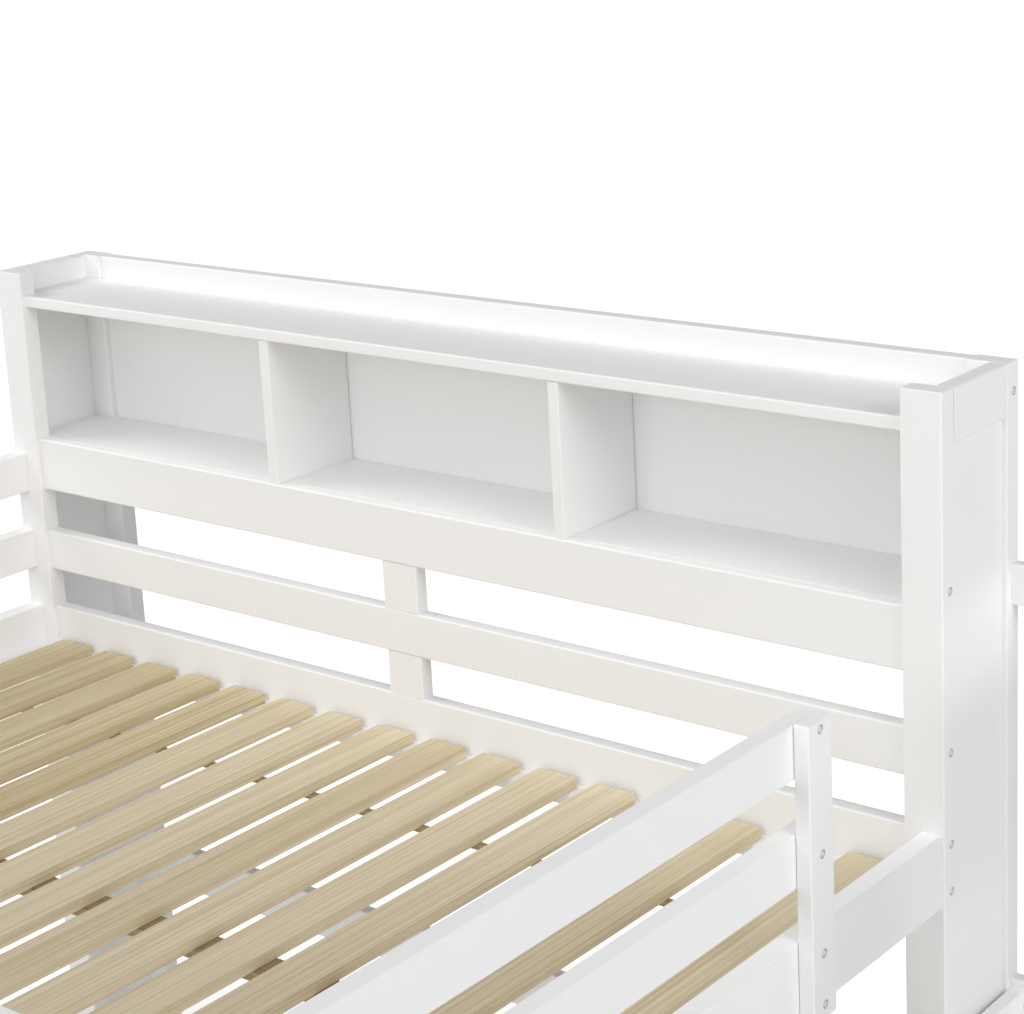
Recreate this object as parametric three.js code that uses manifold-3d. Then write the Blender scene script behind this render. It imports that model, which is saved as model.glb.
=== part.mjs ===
import * as THREE from 'three';
import { mergeVertices } from 'three/addons/utils/BufferGeometryUtils.js';
import Module from 'manifold-3d';

// A loft bed with a low bookcase along its wall side and a stair at its right-hand end.
// Millimetres. X runs along the bed, Y towards the wall and Z up from the floor.
// Pieces are drawn with X = 0 at mid-length and Y = 0 at the bookcase's front face.
// The last lines move the whole bed so that its origin lies under the middle of its box.

// Joints
const SEAM = 0.3;                  // gap at every joint face
const GROOVE = 8;                  // depth of grooves and housings
const OVERCUT = 2;                 // a cutter runs this far past the face that it opens

// Edges
const EASE = 3;                    // rounding along a solid board
const THIN_EASE = 1.5;             // rounding along battens and sheet material
const TREAD_EASE = 6;              // rounding along a tread's front
const EASE_LIMIT = 0.4;            // most of a board's thickness that a rounding may take
const END_EASE = 2;                // softened end grain where an end shows
const ARC_STEPS = 2;
const END_STEPS = 2;

// Bed
const BED_LENGTH = 2000;
const DECK_DEPTH = 1400;           // between the back posts and the front posts
const DECK_HEIGHT = 1172;          // top of the slats

// Posts
const POST_WIDTH = 66;
const POST_DEPTH = 35;
const FRONT_POST_RISE = 12;        // above the upper guard board

// Bed rails
const RAIL_HEIGHT = 113;
const RAIL_THICK = 33;
const RAIL_RISE = 61;              // above the slats
const RAIL_INSET = 4;              // end rails stand this far inside the posts' ends
const LONG_INSET = 8;              // long boards stand this far behind the posts' inner faces
const LEDGE_DEPTH = 35;
const LEDGE_HEIGHT = 22;

// Guards
const GUARD_HEIGHT = 76;
const GUARD_THICK = 28;
const GUARD_GAP = 75;
const ENTRY_WIDTH = 326;
const GUARD_POST_WIDTH = 56;
const GUARD_POST_THICK = 24;
const GUARD_POST_RISE = 2;
const STILE_WIDTH = 75;
const STILE_CENTRE = -31;
const TENON_THICK = 9;
const TENON_LENGTH = 20;
const TENON_SHOULDER = 10;

// Bookcase
const BOOKCASE_DEPTH = 226;
const APRON_GAP = 83;              // lower guard board to apron
const APRON_HEIGHT = 98;
const APRON_THICK = 20;
const SHELF_THICK = 21;
const SHELF_INSET = 9;
const CUBBY_HEIGHT = 254;
const UPSTAND = 44;                // posts above the top shelf
const CUBBY_COUNT = 3;
const DIVIDER_INSET = 10;
const CREST_HEIGHT = 75;
const CREST_THICK = 28;
const CREST_DROP = 1;              // below the posts and in from their backs
const BACK_THICK = 5;
const BACK_INSET = 18;             // back panel in from the posts' backs

// End frames
const PANEL_THICK = 8;
const PANEL_RECESS = 8;            // panel in from the posts' ends
const PANEL_FOOT = 60;
const TOP_RAIL_HEIGHT = 45;
const TOP_RAIL_THICK = 29;
const TOP_RAIL_LIP = 35;

// Bolt holes in the outer faces of the posts
const BOLT_WIDTH = 13;
const BOLT_DEPTH = 6;
const BOLT_SIDES = 20;
const BOLT_EDGE = 20;              // from a rail's top and bottom edges
const BOLT_STAGGER = 20;           // between bolts that cross inside a corner post
const GUARD_BOLT_RISE = 7;         // above the middle of a guard board
const SHELF_BOLT_RISE = 29;        // above the bottom shelf
const CREST_BOLT_DROP = 43;        // below the top of the crest rail
const GUARD_POST_BOLT_DROP = 12;   // below the guard post's top
const LANDING_BOLT_DROP = 32;      // from the landing to the upper bolt in a side board
const LANDING_BOLT_PITCH = 50;

// Low stretcher
const STRETCHER_HEIGHT = 83;
const STRETCHER_THICK = 27;
const STRETCHER_FOOT = 581;

// Slats
const SLAT_COUNT = 16;
const SLAT_WIDTH = 78.4;
const SLAT_THICK = 18;
const SLAT_EASE = 1;
const SLAT_MARGIN = 48.5;          // mean gap between the row's ends and the end rails
const SLAT_SHIFT = 5;              // the row lies this far right of the middle
const SLAT_END_GAP = 1.5;
const BEAM_WIDTH = 49;
const BEAM_THICK = 16;
const TIE_WIDTH = 12;
const TIE_THICK = 10;
const TIE_INSET = 243;

// Stair
const RISE_COUNT = 4;
const GOING = 240;
const TREAD_WIDTH = 420;           // clear between the sides
const TREAD_THICK = 22;
const TREAD_OVERLAP = 25;
const SIDE_THICK = 22;
const SIDE_WIDTH = 260;            // across the sloping part
const SIDE_MARGIN = 28;            // above the nosing line
const FLAT_DEPTH = 130;            // side board under the landing
const NEWEL_WIDTH = 66;
const NEWEL_THICK = 35;
const NEWEL_DROP = 290;            // below the bookcase's top
const LANDING_GUARD_HEIGHT = 63;
const LANDING_GUARD_THICK = 22;
const UPPER_GUARD_DROP = 302;       // below the bookcase's top

// Heights worked out from those above
const railTop = DECK_HEIGHT + RAIL_RISE;
const railZ = [railTop - RAIL_HEIGHT, railTop];
const lowerGuardZ = [railTop + GUARD_GAP, railTop + GUARD_GAP + GUARD_HEIGHT];
const upperGuardZ = [lowerGuardZ[1] + GUARD_GAP, lowerGuardZ[1] + GUARD_GAP + GUARD_HEIGHT];
const apronZ = [lowerGuardZ[1] + APRON_GAP, lowerGuardZ[1] + APRON_GAP + APRON_HEIGHT];
const bottomShelfZ = [apronZ[1] - SHELF_THICK, apronZ[1]];
const topShelfZ = [apronZ[1] + CUBBY_HEIGHT, apronZ[1] + CUBBY_HEIGHT + SHELF_THICK];
const bookcaseTop = topShelfZ[1] + UPSTAND;
const crestZ = [bookcaseTop - CREST_DROP - CREST_HEIGHT, bookcaseTop - CREST_DROP];
const panelTop = bookcaseTop - TOP_RAIL_HEIGHT;
const slatBottom = DECK_HEIGHT - SLAT_THICK;
const stretcherZ = [STRETCHER_FOOT, STRETCHER_FOOT + STRETCHER_HEIGHT];

// Lengthwise places
const halfLength = BED_LENGTH / 2;
const postX = [halfLength - POST_WIDTH, halfLength];
const betweenPostsX = [-postX[0] + SEAM, postX[0] - SEAM];
const endRailX = [halfLength - RAIL_INSET - RAIL_THICK, halfLength - RAIL_INSET];
const guardX = [halfLength - RAIL_INSET - GUARD_THICK, halfLength - RAIL_INSET];
const panelX = [halfLength - PANEL_RECESS - PANEL_THICK, halfLength - PANEL_RECESS];
const stileX = [STILE_CENTRE - STILE_WIDTH / 2, STILE_CENTRE + STILE_WIDTH / 2];

// Crosswise places
const frontPostY = [-DECK_DEPTH - POST_DEPTH, -DECK_DEPTH];
const bookcaseFrontY = [0, POST_DEPTH];
const bookcaseBackY = [BOOKCASE_DEPTH - POST_DEPTH, BOOKCASE_DEPTH];
const deckY = [-DECK_DEPTH + SEAM, -SEAM];
const longBoardY = [LONG_INSET, POST_DEPTH];
const apronY = [LONG_INSET, LONG_INSET + APRON_THICK];
const backPanelY = [BOOKCASE_DEPTH - BACK_INSET - BACK_THICK, BOOKCASE_DEPTH - BACK_INSET];
const crestY = [BOOKCASE_DEPTH - CREST_DROP - CREST_THICK, BOOKCASE_DEPTH - CREST_DROP];
const stretcherY = [BOOKCASE_DEPTH - STRETCHER_THICK, BOOKCASE_DEPTH];

// Stair places, from the bed's right-hand end
const stairRise = DECK_HEIGHT / RISE_COUNT;
const landingTop = stairRise * (RISE_COUNT - 1);
const innerSideX = [halfLength + SEAM, halfLength + SIDE_THICK];
const outerSideX = [innerSideX[1] + TREAD_WIDTH, innerSideX[1] + TREAD_WIDTH + SIDE_THICK];
const treadX = [innerSideX[1] - GROOVE + SEAM, outerSideX[0] + GROOVE - SEAM];
const newelX = [outerSideX[1] + SEAM, outerSideX[1] + SEAM + NEWEL_THICK];
const landingGuardY = [BOOKCASE_DEPTH - LANDING_GUARD_THICK, BOOKCASE_DEPTH];
const landingY = [-ENTRY_WIDTH - GUARD_POST_WIDTH, landingGuardY[0] - SEAM];
const landingGuardX = [halfLength + SEAM, newelX[0] - SEAM];
const upperLandingGuardZ = [
  bookcaseTop - UPPER_GUARD_DROP - LANDING_GUARD_HEIGHT,
  bookcaseTop - UPPER_GUARD_DROP,
];
const lowerLandingGuardZ = [
  landingTop - TREAD_THICK,
  landingTop - TREAD_THICK + LANDING_GUARD_HEIGHT,
];

// Finishes
const whitePaint = new THREE.MeshStandardMaterial({ color: 0xebeae7, roughness: 0.45, metalness: 0 });
const barePine = new THREE.MeshStandardMaterial({ color: 0xd2bf95, roughness: 0.7, metalness: 0 });

const wasm = await Module();
wasm.setup();

// Turns that lay an extruded section's length along the grain.
const axisX = new THREE.Vector3(1, 0, 0);
const axisY = new THREE.Vector3(0, 1, 0);
const axisZ = new THREE.Vector3(0, 0, 1);
const lay = {
  x: { across: 'y', up: 'z', turn: new THREE.Matrix4().makeBasis(axisY, axisZ, axisX) },
  y: { across: 'z', up: 'x', turn: new THREE.Matrix4().makeBasis(axisZ, axisX, axisY) },
  z: { across: 'x', up: 'y', turn: new THREE.Matrix4() },
};

// The mirror of a span on the left-hand half of the bed, or the span itself on the right.
function onSide(side, span) {
  return side > 0 ? span : [-span[1], -span[0]];
}

// The mirror of a span about the middle of the deck, from the wall side to the front.
function atFront(span) {
  return [-DECK_DEPTH - span[1], -DECK_DEPTH - span[0]];
}

function middle(span) {
  return (span[0] + span[1]) / 2;
}

// A span made larger or smaller at both ends.
function grown(span, amount) {
  return [span[0] - amount, span[1] + amount];
}

// A closed geometry as a solid that can be joined and cut.
function solid(geometry) {
  geometry.deleteAttribute('normal');
  geometry.deleteAttribute('uv');
  const merged = mergeVertices(geometry);
  const vertProperties = new Float32Array(merged.attributes.position.array);
  const triVerts = new Uint32Array(merged.index.array);
  return new wasm.Manifold(new wasm.Mesh({ numProp: 3, vertProperties, triVerts }));
}

// The section of a board: a rectangle with its four corners rounded.
function boardSection(width, height, radius) {
  const quarter = Math.PI / 2;
  const shape = new THREE.Shape();
  shape.moveTo(radius, 0);
  shape.absarc(width - radius, radius, radius, -quarter, 0);
  shape.absarc(width - radius, height - radius, radius, 0, quarter);
  shape.absarc(radius, height - radius, radius, quarter, 2 * quarter);
  shape.absarc(radius, radius, radius, 2 * quarter, 3 * quarter);
  return shape;
}

// A board that fills three spans, with its long edges eased along the grain.
function board(x, y, z, grain, { ease = EASE, endEase = 0 } = {}) {
  const size = { x: x[1] - x[0], y: y[1] - y[0], z: z[1] - z[0] };
  const { across, up, turn } = lay[grain];
  const radius = Math.min(ease, EASE_LIMIT * Math.min(size[across], size[up]));
  const end = Math.min(endEase, radius * (1 - EASE_LIMIT));
  const geometry = new THREE.ExtrudeGeometry(boardSection(size[across], size[up], radius), {
    depth: size[grain] - 2 * end,
    curveSegments: ARC_STEPS,
    bevelEnabled: end > 0,
    bevelThickness: end,
    bevelSize: end,
    bevelOffset: -end,
    bevelSegments: END_STEPS,
  });
  geometry.translate(0, 0, end);
  geometry.applyMatrix4(turn);
  geometry.translate(x[0], y[0], z[0]);
  return solid(geometry);
}

// A sharp-edged block that fills three spans, used as a cutter.
function cutter(x, y, z) {
  const geometry = new THREE.BoxGeometry(x[1] - x[0], y[1] - y[0], z[1] - z[0]);
  geometry.translate((x[0] + x[1]) / 2, (y[0] + y[1]) / 2, (z[0] + z[1]) / 2);
  return solid(geometry);
}

// One named piece: its shape is kept from its own lowest corner and placed by its position.
function piece(name, shape, finish = whitePaint) {
  const mesh = shape.getMesh();
  const geometry = new THREE.BufferGeometry();
  geometry.setAttribute('position', new THREE.BufferAttribute(mesh.vertProperties, 3));
  geometry.setIndex(new THREE.BufferAttribute(mesh.triVerts, 1));
  geometry.computeBoundingBox();
  const corner = geometry.boundingBox.min.clone();
  geometry.translate(-corner.x, -corner.y, -corner.z);
  geometry.computeVertexNormals();
  const result = new THREE.Mesh(geometry, finish.clone());
  result.name = name;
  result.position.copy(corner);
  return result;
}

function group(...pieces) {
  const result = new THREE.Group();
  result.add(...pieces);
  return result;
}

// A solid with a round hole sunk along one axis at each of the given points of a face.
function bored(shape, axis, points) {
  return points.reduce((rest, [x, y, z]) => {
    const hole = new THREE.CylinderGeometry(BOLT_WIDTH / 2, BOLT_WIDTH / 2, 2 * BOLT_DEPTH, BOLT_SIDES);
    if (axis === 'x') {
      hole.rotateZ(Math.PI / 2);
    }
    hole.translate(x, y, z);
    return rest.subtract(solid(hole));
  }, shape);
}

// Heights of the bolts into a rail's end, and of the one into a guard board's end.
const railBolts = (z, inset = BOLT_EDGE) => [z[0] + inset, z[1] - inset];
const guardBolt = (z) => middle(z) + GUARD_BOLT_RISE;

// The posts of an end frame hold its panel in a groove that stops above the floor.
function panelGroove(side, y) {
  return cutter(grown(onSide(side, panelX), SEAM), y, [PANEL_FOOT, panelTop]);
}

function bookcaseFrontPost(side) {
  const post = board(onSide(side, postX), bookcaseFrontY, [0, bookcaseTop], 'z', { endEase: END_EASE });
  const heights = [bottomShelfZ[1] + SHELF_BOLT_RISE, guardBolt(lowerGuardZ), ...railBolts(railZ)];
  const bolts = heights.map((z) => [side * halfLength, middle(longBoardY), z]);
  return bored(post.subtract(panelGroove(side, [POST_DEPTH - GROOVE, POST_DEPTH + OVERCUT])), 'x', bolts);
}

function bookcaseBackPost(side) {
  const post = board(onSide(side, postX), bookcaseBackY, [0, bookcaseTop], 'z', { endEase: END_EASE });
  const face = bookcaseBackY[0];
  const backGroove = cutter(
    onSide(side, [postX[0] - OVERCUT, postX[0] + GROOVE]),
    grown(backPanelY, SEAM),
    [bottomShelfZ[0] - SEAM, crestZ[0] + GROOVE],
  );
  const bolts = [
    [side * halfLength, middle(crestY), crestZ[1] - CREST_BOLT_DROP],
    ...railBolts(stretcherZ).map((z) => [side * halfLength, middle(stretcherY), z]),
  ];
  const grooved = post.subtract(panelGroove(side, [face - OVERCUT, face + GROOVE])).subtract(backGroove);
  return bored(grooved, 'x', bolts);
}

function endPanel(side) {
  const y = [POST_DEPTH - GROOVE + SEAM, bookcaseBackY[0] + GROOVE - SEAM];
  const z = [PANEL_FOOT + SEAM, panelTop - SEAM];
  return board(onSide(side, panelX), y, z, 'z', { ease: THIN_EASE });
}

// The rail over the panel is rebated inside, so that a thin lip hangs down outside the panel.
function endTopRail(side) {
  const y = [POST_DEPTH + SEAM, bookcaseBackY[0] - SEAM];
  const x = onSide(side, [halfLength - TOP_RAIL_THICK, halfLength]);
  const rail = board(x, y, [panelTop - TOP_RAIL_LIP, bookcaseTop], 'y');
  const rebateX = onSide(side, [halfLength - TOP_RAIL_THICK - OVERCUT, panelX[1] + SEAM]);
  const rebateZ = [panelTop - TOP_RAIL_LIP - OVERCUT, panelTop];
  return rail.subtract(cutter(rebateX, grown(y, OVERCUT), rebateZ));
}

// The shelves reach behind the front posts to the end panels, so they are notched round the posts.
const shelfEndY = [bookcaseFrontY[1] + SEAM, bookcaseBackY[0] - SEAM];
const betweenPanelsX = [-panelX[0] + SEAM, panelX[0] - SEAM];

// The top shelf lies a little higher than the panels, so its ends are stepped down under the end rails.
function topShelf() {
  const topRailX = halfLength - TOP_RAIL_THICK - SEAM;
  return board(betweenPostsX, [SHELF_INSET, crestY[0] - SEAM], topShelfZ, 'x')
    .add(board([-topRailX, topRailX], shelfEndY, topShelfZ, 'x'))
    .add(board(betweenPanelsX, shelfEndY, [topShelfZ[0], panelTop - SEAM], 'x'));
}

function bottomShelf() {
  const y = [apronY[1] + SEAM, backPanelY[0] - SEAM];
  return board(betweenPostsX, y, bottomShelfZ, 'x', { ease: THIN_EASE })
    .add(board(betweenPanelsX, shelfEndY, bottomShelfZ, 'x', { ease: THIN_EASE }));
}

function shelfApron() {
  return board(betweenPostsX, apronY, apronZ, 'x');
}

function backPanel() {
  const x = grown([-postX[0], postX[0]], GROOVE - SEAM);
  return board(x, backPanelY, [bottomShelfZ[0], crestZ[0] + GROOVE - SEAM], 'x', { ease: THIN_EASE });
}

// The board behind the top shelf is grooved underneath for the back panel.
function crestRail() {
  const rail = board(betweenPostsX, crestY, crestZ, 'x');
  const groove = cutter(
    grown(betweenPostsX, OVERCUT),
    grown(backPanelY, SEAM),
    [crestZ[0] - OVERCUT, crestZ[0] + GROOVE],
  );
  return rail.subtract(groove);
}

// Two dividers part the cubbies evenly; each stands on the bottom shelf and is notched round the crest.
function divider(side) {
  const cubbyWidth = (2 * postX[0] - (CUBBY_COUNT - 1) * SHELF_THICK) / CUBBY_COUNT;
  const x = onSide(side, [cubbyWidth / 2, cubbyWidth / 2 + SHELF_THICK]);
  const y = [DIVIDER_INSET, backPanelY[0] - SEAM];
  const z = [bottomShelfZ[1] + SEAM, topShelfZ[0] - SEAM];
  const notch = cutter(
    grown(x, OVERCUT),
    [crestY[0] - SEAM, y[1] + OVERCUT],
    [crestZ[0] - SEAM, z[1] + OVERCUT],
  );
  return board(x, y, z, 'z').subtract(notch);
}

// The guard between the bookcase's front posts: its rail and stile cross in a half lap.
const lapY = (longBoardY[0] + longBoardY[1]) / 2;

function backGuardRail() {
  const lap = cutter(grown(stileX, SEAM), [lapY, longBoardY[1] + OVERCUT], grown(lowerGuardZ, OVERCUT));
  return board(betweenPostsX, longBoardY, lowerGuardZ, 'x').subtract(lap);
}

const tenonY = [lapY - TENON_THICK / 2, lapY + TENON_THICK / 2];
const tenonX = grown(stileX, -TENON_SHOULDER);

// The stile has a stub tenon in the bed rail, and a thin tongue behind the apron.
function backGuardStile() {
  const z = [railTop - TENON_LENGTH, bottomShelfZ[0] - SEAM];
  const shoulderZ = [z[0] - OVERCUT, railTop + SEAM];
  const wideX = grown(stileX, OVERCUT);
  const frontOf = (depth) => [longBoardY[0] - OVERCUT, depth];
  const lap = cutter(wideX, frontOf(lapY + SEAM), grown(lowerGuardZ, SEAM));
  const rebate = cutter(wideX, frontOf(apronY[1] + SEAM), [apronZ[0] - SEAM, z[1] + OVERCUT]);
  const shoulders = cutter(wideX, grown(longBoardY, OVERCUT), shoulderZ)
    .subtract(cutter(tenonX, tenonY, grown(shoulderZ, OVERCUT)));
  return board(stileX, longBoardY, z, 'z').subtract(lap).subtract(rebate).subtract(shoulders);
}

// A long bed rail with the ledge that the slat ends rest on; both are drawn at the wall side.
function longRail(toPlace) {
  const ledgeTop = slatBottom - SEAM;
  const ledgeZ = [ledgeTop - LEDGE_HEIGHT, ledgeTop];
  const ledgeY = toPlace([LONG_INSET - LEDGE_DEPTH, LONG_INSET + 2 * EASE]);
  const rail = board(betweenPostsX, toPlace(longBoardY), railZ, 'x');
  return rail.add(board(betweenPostsX, ledgeY, ledgeZ, 'x'));
}

function backBedRail() {
  const mortiseZ = [railTop - TENON_LENGTH - SEAM, railTop + OVERCUT];
  const mortise = cutter(grown(tenonX, SEAM), grown(tenonY, SEAM), mortiseZ);
  return longRail((span) => span).subtract(mortise);
}

function backStretcher() {
  return board(betweenPostsX, stretcherY, stretcherZ, 'x');
}

// A corner post takes bolts from two sides, set at different heights so that they pass each other.
function frontPost(side) {
  const z = [0, upperGuardZ[1] + FRONT_POST_RISE];
  const post = board(onSide(side, postX), frontPostY, z, 'z', { endEase: END_EASE });
  const guards = [guardBolt(lowerGuardZ), guardBolt(upperGuardZ)];
  const endBolts = [...railBolts(railZ), ...guards]
    .map((height) => [side * halfLength, middle(atFront(longBoardY)), height]);
  const faceBolts = [
    ...railBolts(railZ, BOLT_EDGE + BOLT_STAGGER).map((height) => [side * middle(endRailX), height]),
    ...guards.map((height) => [side * middle(guardX), height - BOLT_STAGGER]),
  ].map(([x, height]) => [x, frontPostY[0], height]);
  return bored(bored(post, 'x', endBolts), 'y', faceBolts);
}

function endBedRail(side) {
  return board(onSide(side, endRailX), deckY, railZ, 'y');
}

function leftGuard(z) {
  return board(onSide(-1, guardX), deckY, z, 'y');
}

// The right-hand boards stop short of the bookcase and leave the entry open.
function rightGuard(z) {
  return board(guardX, [deckY[0], -ENTRY_WIDTH], z, 'y', { endEase: END_EASE });
}

function rightGuardPost() {
  const x = [guardX[1] + SEAM, guardX[1] + GUARD_POST_THICK];
  const y = [-ENTRY_WIDTH - GUARD_POST_WIDTH, -ENTRY_WIDTH];
  const z = [railZ[0], upperGuardZ[1] + GUARD_POST_RISE];
  const heights = [...railBolts(railZ), guardBolt(lowerGuardZ), z[1] - GUARD_POST_BOLT_DROP];
  const post = board(x, y, z, 'z', { endEase: END_EASE });
  return bored(post, 'x', heights.map((height) => [x[1], middle(y), height]));
}

function frontGuard(z) {
  return board(betweenPostsX, atFront(longBoardY), z, 'x');
}

// Slats lie square across the deck at an even pitch.
const rowX = [-endRailX[0] + SLAT_MARGIN + SLAT_SHIFT, endRailX[0] - SLAT_MARGIN + SLAT_SHIFT];
const slatPitch = (rowX[1] - rowX[0] - SLAT_WIDTH) / (SLAT_COUNT - 1);

function slat(index) {
  const start = rowX[0] + index * slatPitch;
  const y = [-DECK_DEPTH + SLAT_END_GAP, -SLAT_END_GAP];
  return board([start, start + SLAT_WIDTH], y, [slatBottom, DECK_HEIGHT], 'y', { ease: SLAT_EASE });
}

function centreBeam() {
  const x = grown([-endRailX[0], endRailX[0]], -SEAM);
  const y = [(-DECK_DEPTH - BEAM_WIDTH) / 2, (-DECK_DEPTH + BEAM_WIDTH) / 2];
  const top = slatBottom - SEAM;
  return board(x, y, [top - BEAM_THICK, top], 'x', { ease: THIN_EASE });
}

function slatTie(toPlace) {
  const top = slatBottom - SEAM;
  const y = toPlace([-TIE_INSET - TIE_WIDTH / 2, -TIE_INSET + TIE_WIDTH / 2]);
  return board(rowX, y, [top - TIE_THICK, top], 'x', { ease: THIN_EASE });
}

// The stair descends from the landing towards the front; step 1 is the lowest.
function nosingY(step) {
  return landingY[0] - (RISE_COUNT - 1 - step) * GOING;
}

function treadSpans(step) {
  const top = stairRise * step;
  return {
    y: [nosingY(step), nosingY(step) + GOING + TREAD_OVERLAP],
    z: [top - TREAD_THICK, top],
  };
}

function landingSpans() {
  return { y: landingY, z: [landingTop - TREAD_THICK, landingTop] };
}

function tread({ y, z }) {
  return board(treadX, y, z, 'x', { ease: TREAD_EASE });
}

// The side board's outline runs level under the landing and then slopes down to the floor.
function sideOutline() {
  const slope = stairRise / GOING;
  const stretch = Math.hypot(1, slope);
  const lineAt = (offset) => (y) => landingTop + offset * stretch + (y - landingY[0]) * slope;
  const meets = (offset, z) => landingY[0] + (z - landingTop - offset * stretch) / slope;
  const lower = SIDE_MARGIN - SIDE_WIDTH;
  const flatTop = landingTop + SIDE_MARGIN;
  const flatBottom = flatTop - FLAT_DEPTH;
  const toe = nosingY(1) - SIDE_MARGIN;
  const shape = new THREE.Shape();
  shape.moveTo(landingY[1], flatBottom);
  shape.lineTo(landingY[1], flatTop);
  shape.lineTo(meets(SIDE_MARGIN, flatTop), flatTop);
  shape.lineTo(toe, lineAt(SIDE_MARGIN)(toe));
  shape.lineTo(toe, 0);
  shape.lineTo(meets(lower, 0), 0);
  shape.lineTo(meets(lower, flatBottom), flatBottom);
  shape.closePath();
  return shape;
}

// A side board with a stopped housing for each tread and one for the landing.
function stairSide(x, housingX) {
  const geometry = new THREE.ExtrudeGeometry(sideOutline(), {
    depth: x[1] - x[0] - 2 * END_EASE,
    bevelThickness: END_EASE,
    bevelSize: END_EASE,
    bevelOffset: -END_EASE,
    bevelSegments: END_STEPS,
  });
  geometry.applyMatrix4(lay.x.turn);
  geometry.translate(x[0] + END_EASE, 0, 0);
  const steps = [treadSpans(1), treadSpans(2), landingSpans()];
  return steps.reduce(
    (side, { y, z }) => side.subtract(cutter(housingX, grown(y, SEAM), grown(z, SEAM))),
    solid(geometry),
  );
}

function stairInnerSide() {
  return stairSide(innerSideX, [innerSideX[1] - GROOVE, innerSideX[1] + OVERCUT]);
}

function stairOuterSide() {
  return stairSide(outerSideX, [outerSideX[0] - OVERCUT, outerSideX[0] + GROOVE]);
}

const backNewelY = [BOOKCASE_DEPTH - NEWEL_WIDTH, BOOKCASE_DEPTH];
const frontNewelY = [landingY[0], landingY[0] + NEWEL_WIDTH];

// Bolts hold the outer guard and the outer side board to each newel, where they lie against it.
function newel(y, boardY) {
  const post = board(newelX, y, [0, bookcaseTop - NEWEL_DROP], 'z', { endEase: END_EASE });
  const sideBolt = landingTop - LANDING_BOLT_DROP;
  const heights = [middle(upperLandingGuardZ), sideBolt, sideBolt - LANDING_BOLT_PITCH];
  return bored(post, 'x', heights.map((height) => [newelX[1], middle(boardY), height]));
}

// The back newel also carries the ends of the two boards on the wall side.
function backNewel() {
  const heights = [middle(upperLandingGuardZ), middle(lowerLandingGuardZ)];
  const post = newel(backNewelY, [backNewelY[0], landingY[1]]);
  return bored(post, 'x', heights.map((height) => [newelX[1], middle(landingGuardY), height]));
}

function landingGuard(z) {
  return board(landingGuardX, landingGuardY, z, 'x');
}

function landingOuterGuard() {
  return board(outerSideX, landingY, upperLandingGuardZ, 'y', { endEase: END_EASE });
}

// Assemblies
const bookcase = group(
  piece('left_front_post', bookcaseFrontPost(-1)),
  piece('right_front_post', bookcaseFrontPost(1)),
  piece('left_back_post', bookcaseBackPost(-1)),
  piece('right_back_post', bookcaseBackPost(1)),
  piece('left_end_panel', endPanel(-1)),
  piece('right_end_panel', endPanel(1)),
  piece('left_end_top_rail', endTopRail(-1)),
  piece('right_end_top_rail', endTopRail(1)),
  piece('top_shelf', topShelf()),
  piece('bottom_shelf', bottomShelf()),
  piece('shelf_apron', shelfApron()),
  piece('bookcase_back_panel', backPanel()),
  piece('crest_rail', crestRail()),
  piece('left_divider', divider(-1)),
  piece('right_divider', divider(1)),
  piece('back_guard_rail', backGuardRail()),
  piece('back_guard_stile', backGuardStile()),
  piece('back_bed_rail', backBedRail()),
  piece('back_stretcher', backStretcher()),
);

const bedFrame = group(
  piece('left_bed_rail', endBedRail(-1)),
  piece('right_bed_rail', endBedRail(1)),
  piece('front_bed_rail', longRail(atFront)),
  piece('front_left_post', frontPost(-1)),
  piece('front_right_post', frontPost(1)),
  piece('left_guard_upper', leftGuard(upperGuardZ)),
  piece('left_guard_lower', leftGuard(lowerGuardZ)),
  piece('right_guard_upper', rightGuard(upperGuardZ)),
  piece('right_guard_lower', rightGuard(lowerGuardZ)),
  piece('right_guard_post', rightGuardPost()),
  piece('front_guard_upper', frontGuard(upperGuardZ)),
  piece('front_guard_lower', frontGuard(lowerGuardZ)),
);

const deck = group(
  piece('centre_beam', centreBeam(), barePine),
  piece('back_slat_tie', slatTie((span) => span), barePine),
  piece('front_slat_tie', slatTie(atFront), barePine),
);
for (let index = 0; index < SLAT_COUNT; index += 1) {
  const number = String(index + 1).padStart(2, '0');
  deck.add(piece(`slat_${number}`, slat(index), barePine));
}

const stair = group(
  piece('landing_guard_upper', landingGuard(upperLandingGuardZ)),
  piece('landing_guard_lower', landingGuard(lowerLandingGuardZ)),
  piece('landing_outer_guard', landingOuterGuard()),
  piece('stair_back_post', backNewel()),
  piece('stair_front_post', newel(frontNewelY, frontNewelY)),
  piece('stair_inner_side', stairInnerSide()),
  piece('stair_outer_side', stairOuterSide()),
  piece('stair_landing', tread(landingSpans())),
  piece('stair_tread_1', tread(treadSpans(1))),
  piece('stair_tread_2', tread(treadSpans(2))),
);

// The whole bed, with its origin on the floor under the middle of its box.
const loftBed = group(bookcase, bedFrame, deck, stair);
loftBed.position.set(
  -(newelX[1] - halfLength) / 2,
  -(frontPostY[0] + BOOKCASE_DEPTH) / 2,
  0,
);

export default loftBed;
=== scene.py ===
# %% [markdown]
# # A white loft bed with a bookcase headboard
#
# The bed is a painted timber frame with a bare pine deck. The frame of packed boards gives every
# size and place here. This script gives those boards their finish, lays the slats with softened
# edges, and adds the small things that the boards carry: bolt heads, caps, screws and staples.
# Units are metres, X runs along the bed, Y runs towards the wall and Z runs up from the floor.

import math

import bpy
from mathutils import Matrix, Vector


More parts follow.
